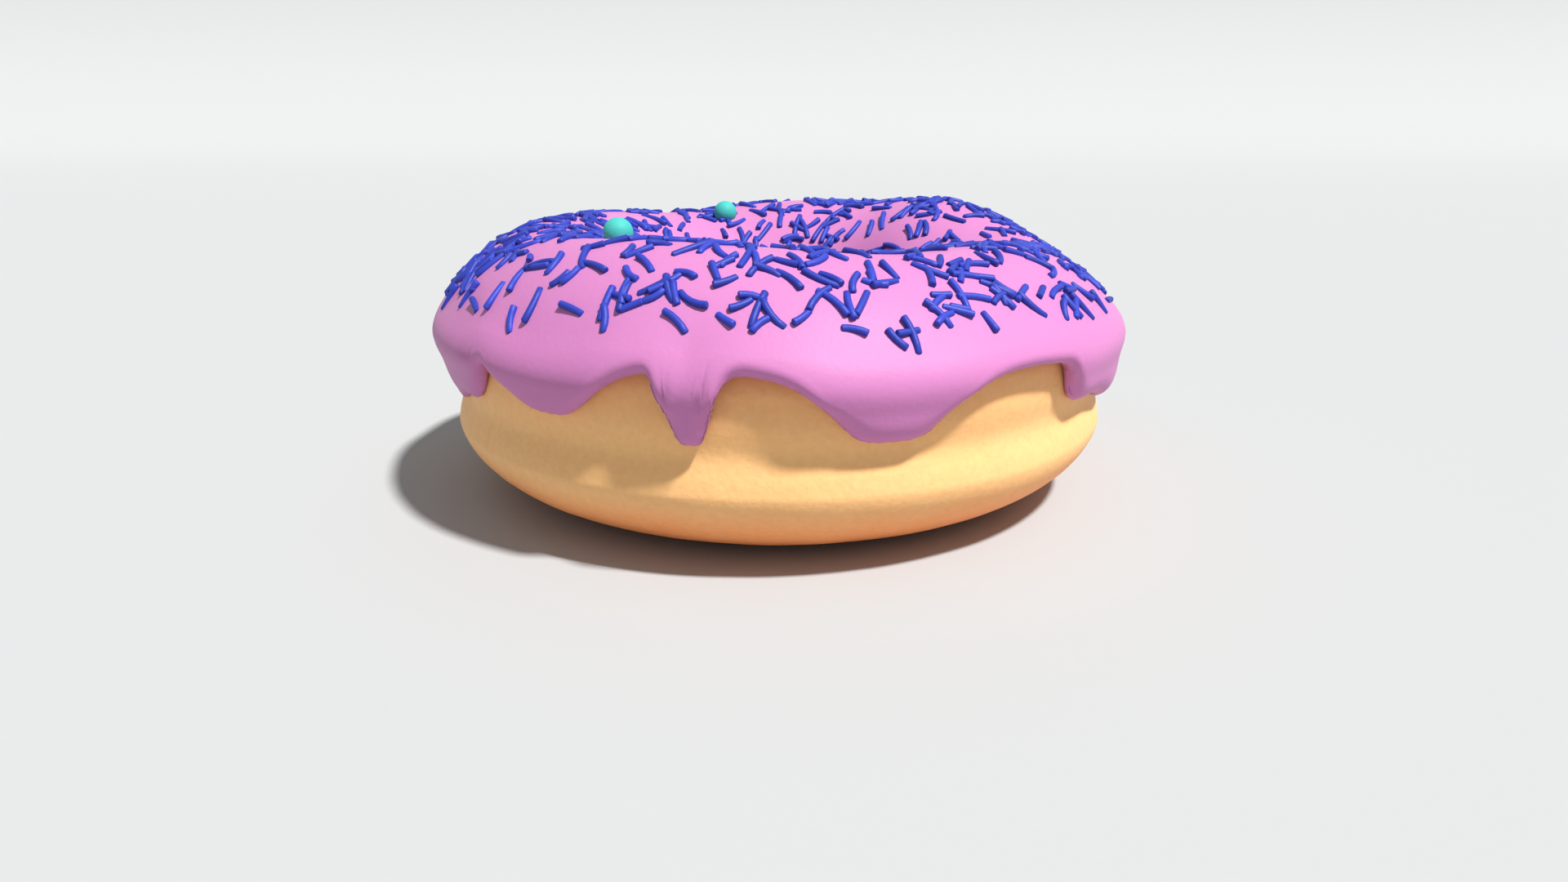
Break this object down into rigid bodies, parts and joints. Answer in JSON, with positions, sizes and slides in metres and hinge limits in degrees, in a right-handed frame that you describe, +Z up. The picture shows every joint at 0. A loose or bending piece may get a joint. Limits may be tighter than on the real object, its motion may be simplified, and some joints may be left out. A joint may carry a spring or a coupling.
{
  "type": "ring doughnut",
  "caption": "Ring doughnut of fried dough with a dripping pink icing skin, strewn with bent sugar sprinkles and topped with small sugar pearls.",
  "frame": {"origin": "on the floor under the middle of the doughnut's hole", "axes": "+Z up along the hole; -Y towards the side that the picture shows; +X to that view's right"},
  "size_m": [0.0941, 0.0942, 0.0379],
  "materials": {
    "dough": null,
    "icing": null
  },
  "bodies": {
    "root": {"dough": "dough", "icing": "icing"}
  },
  "joints": []
}
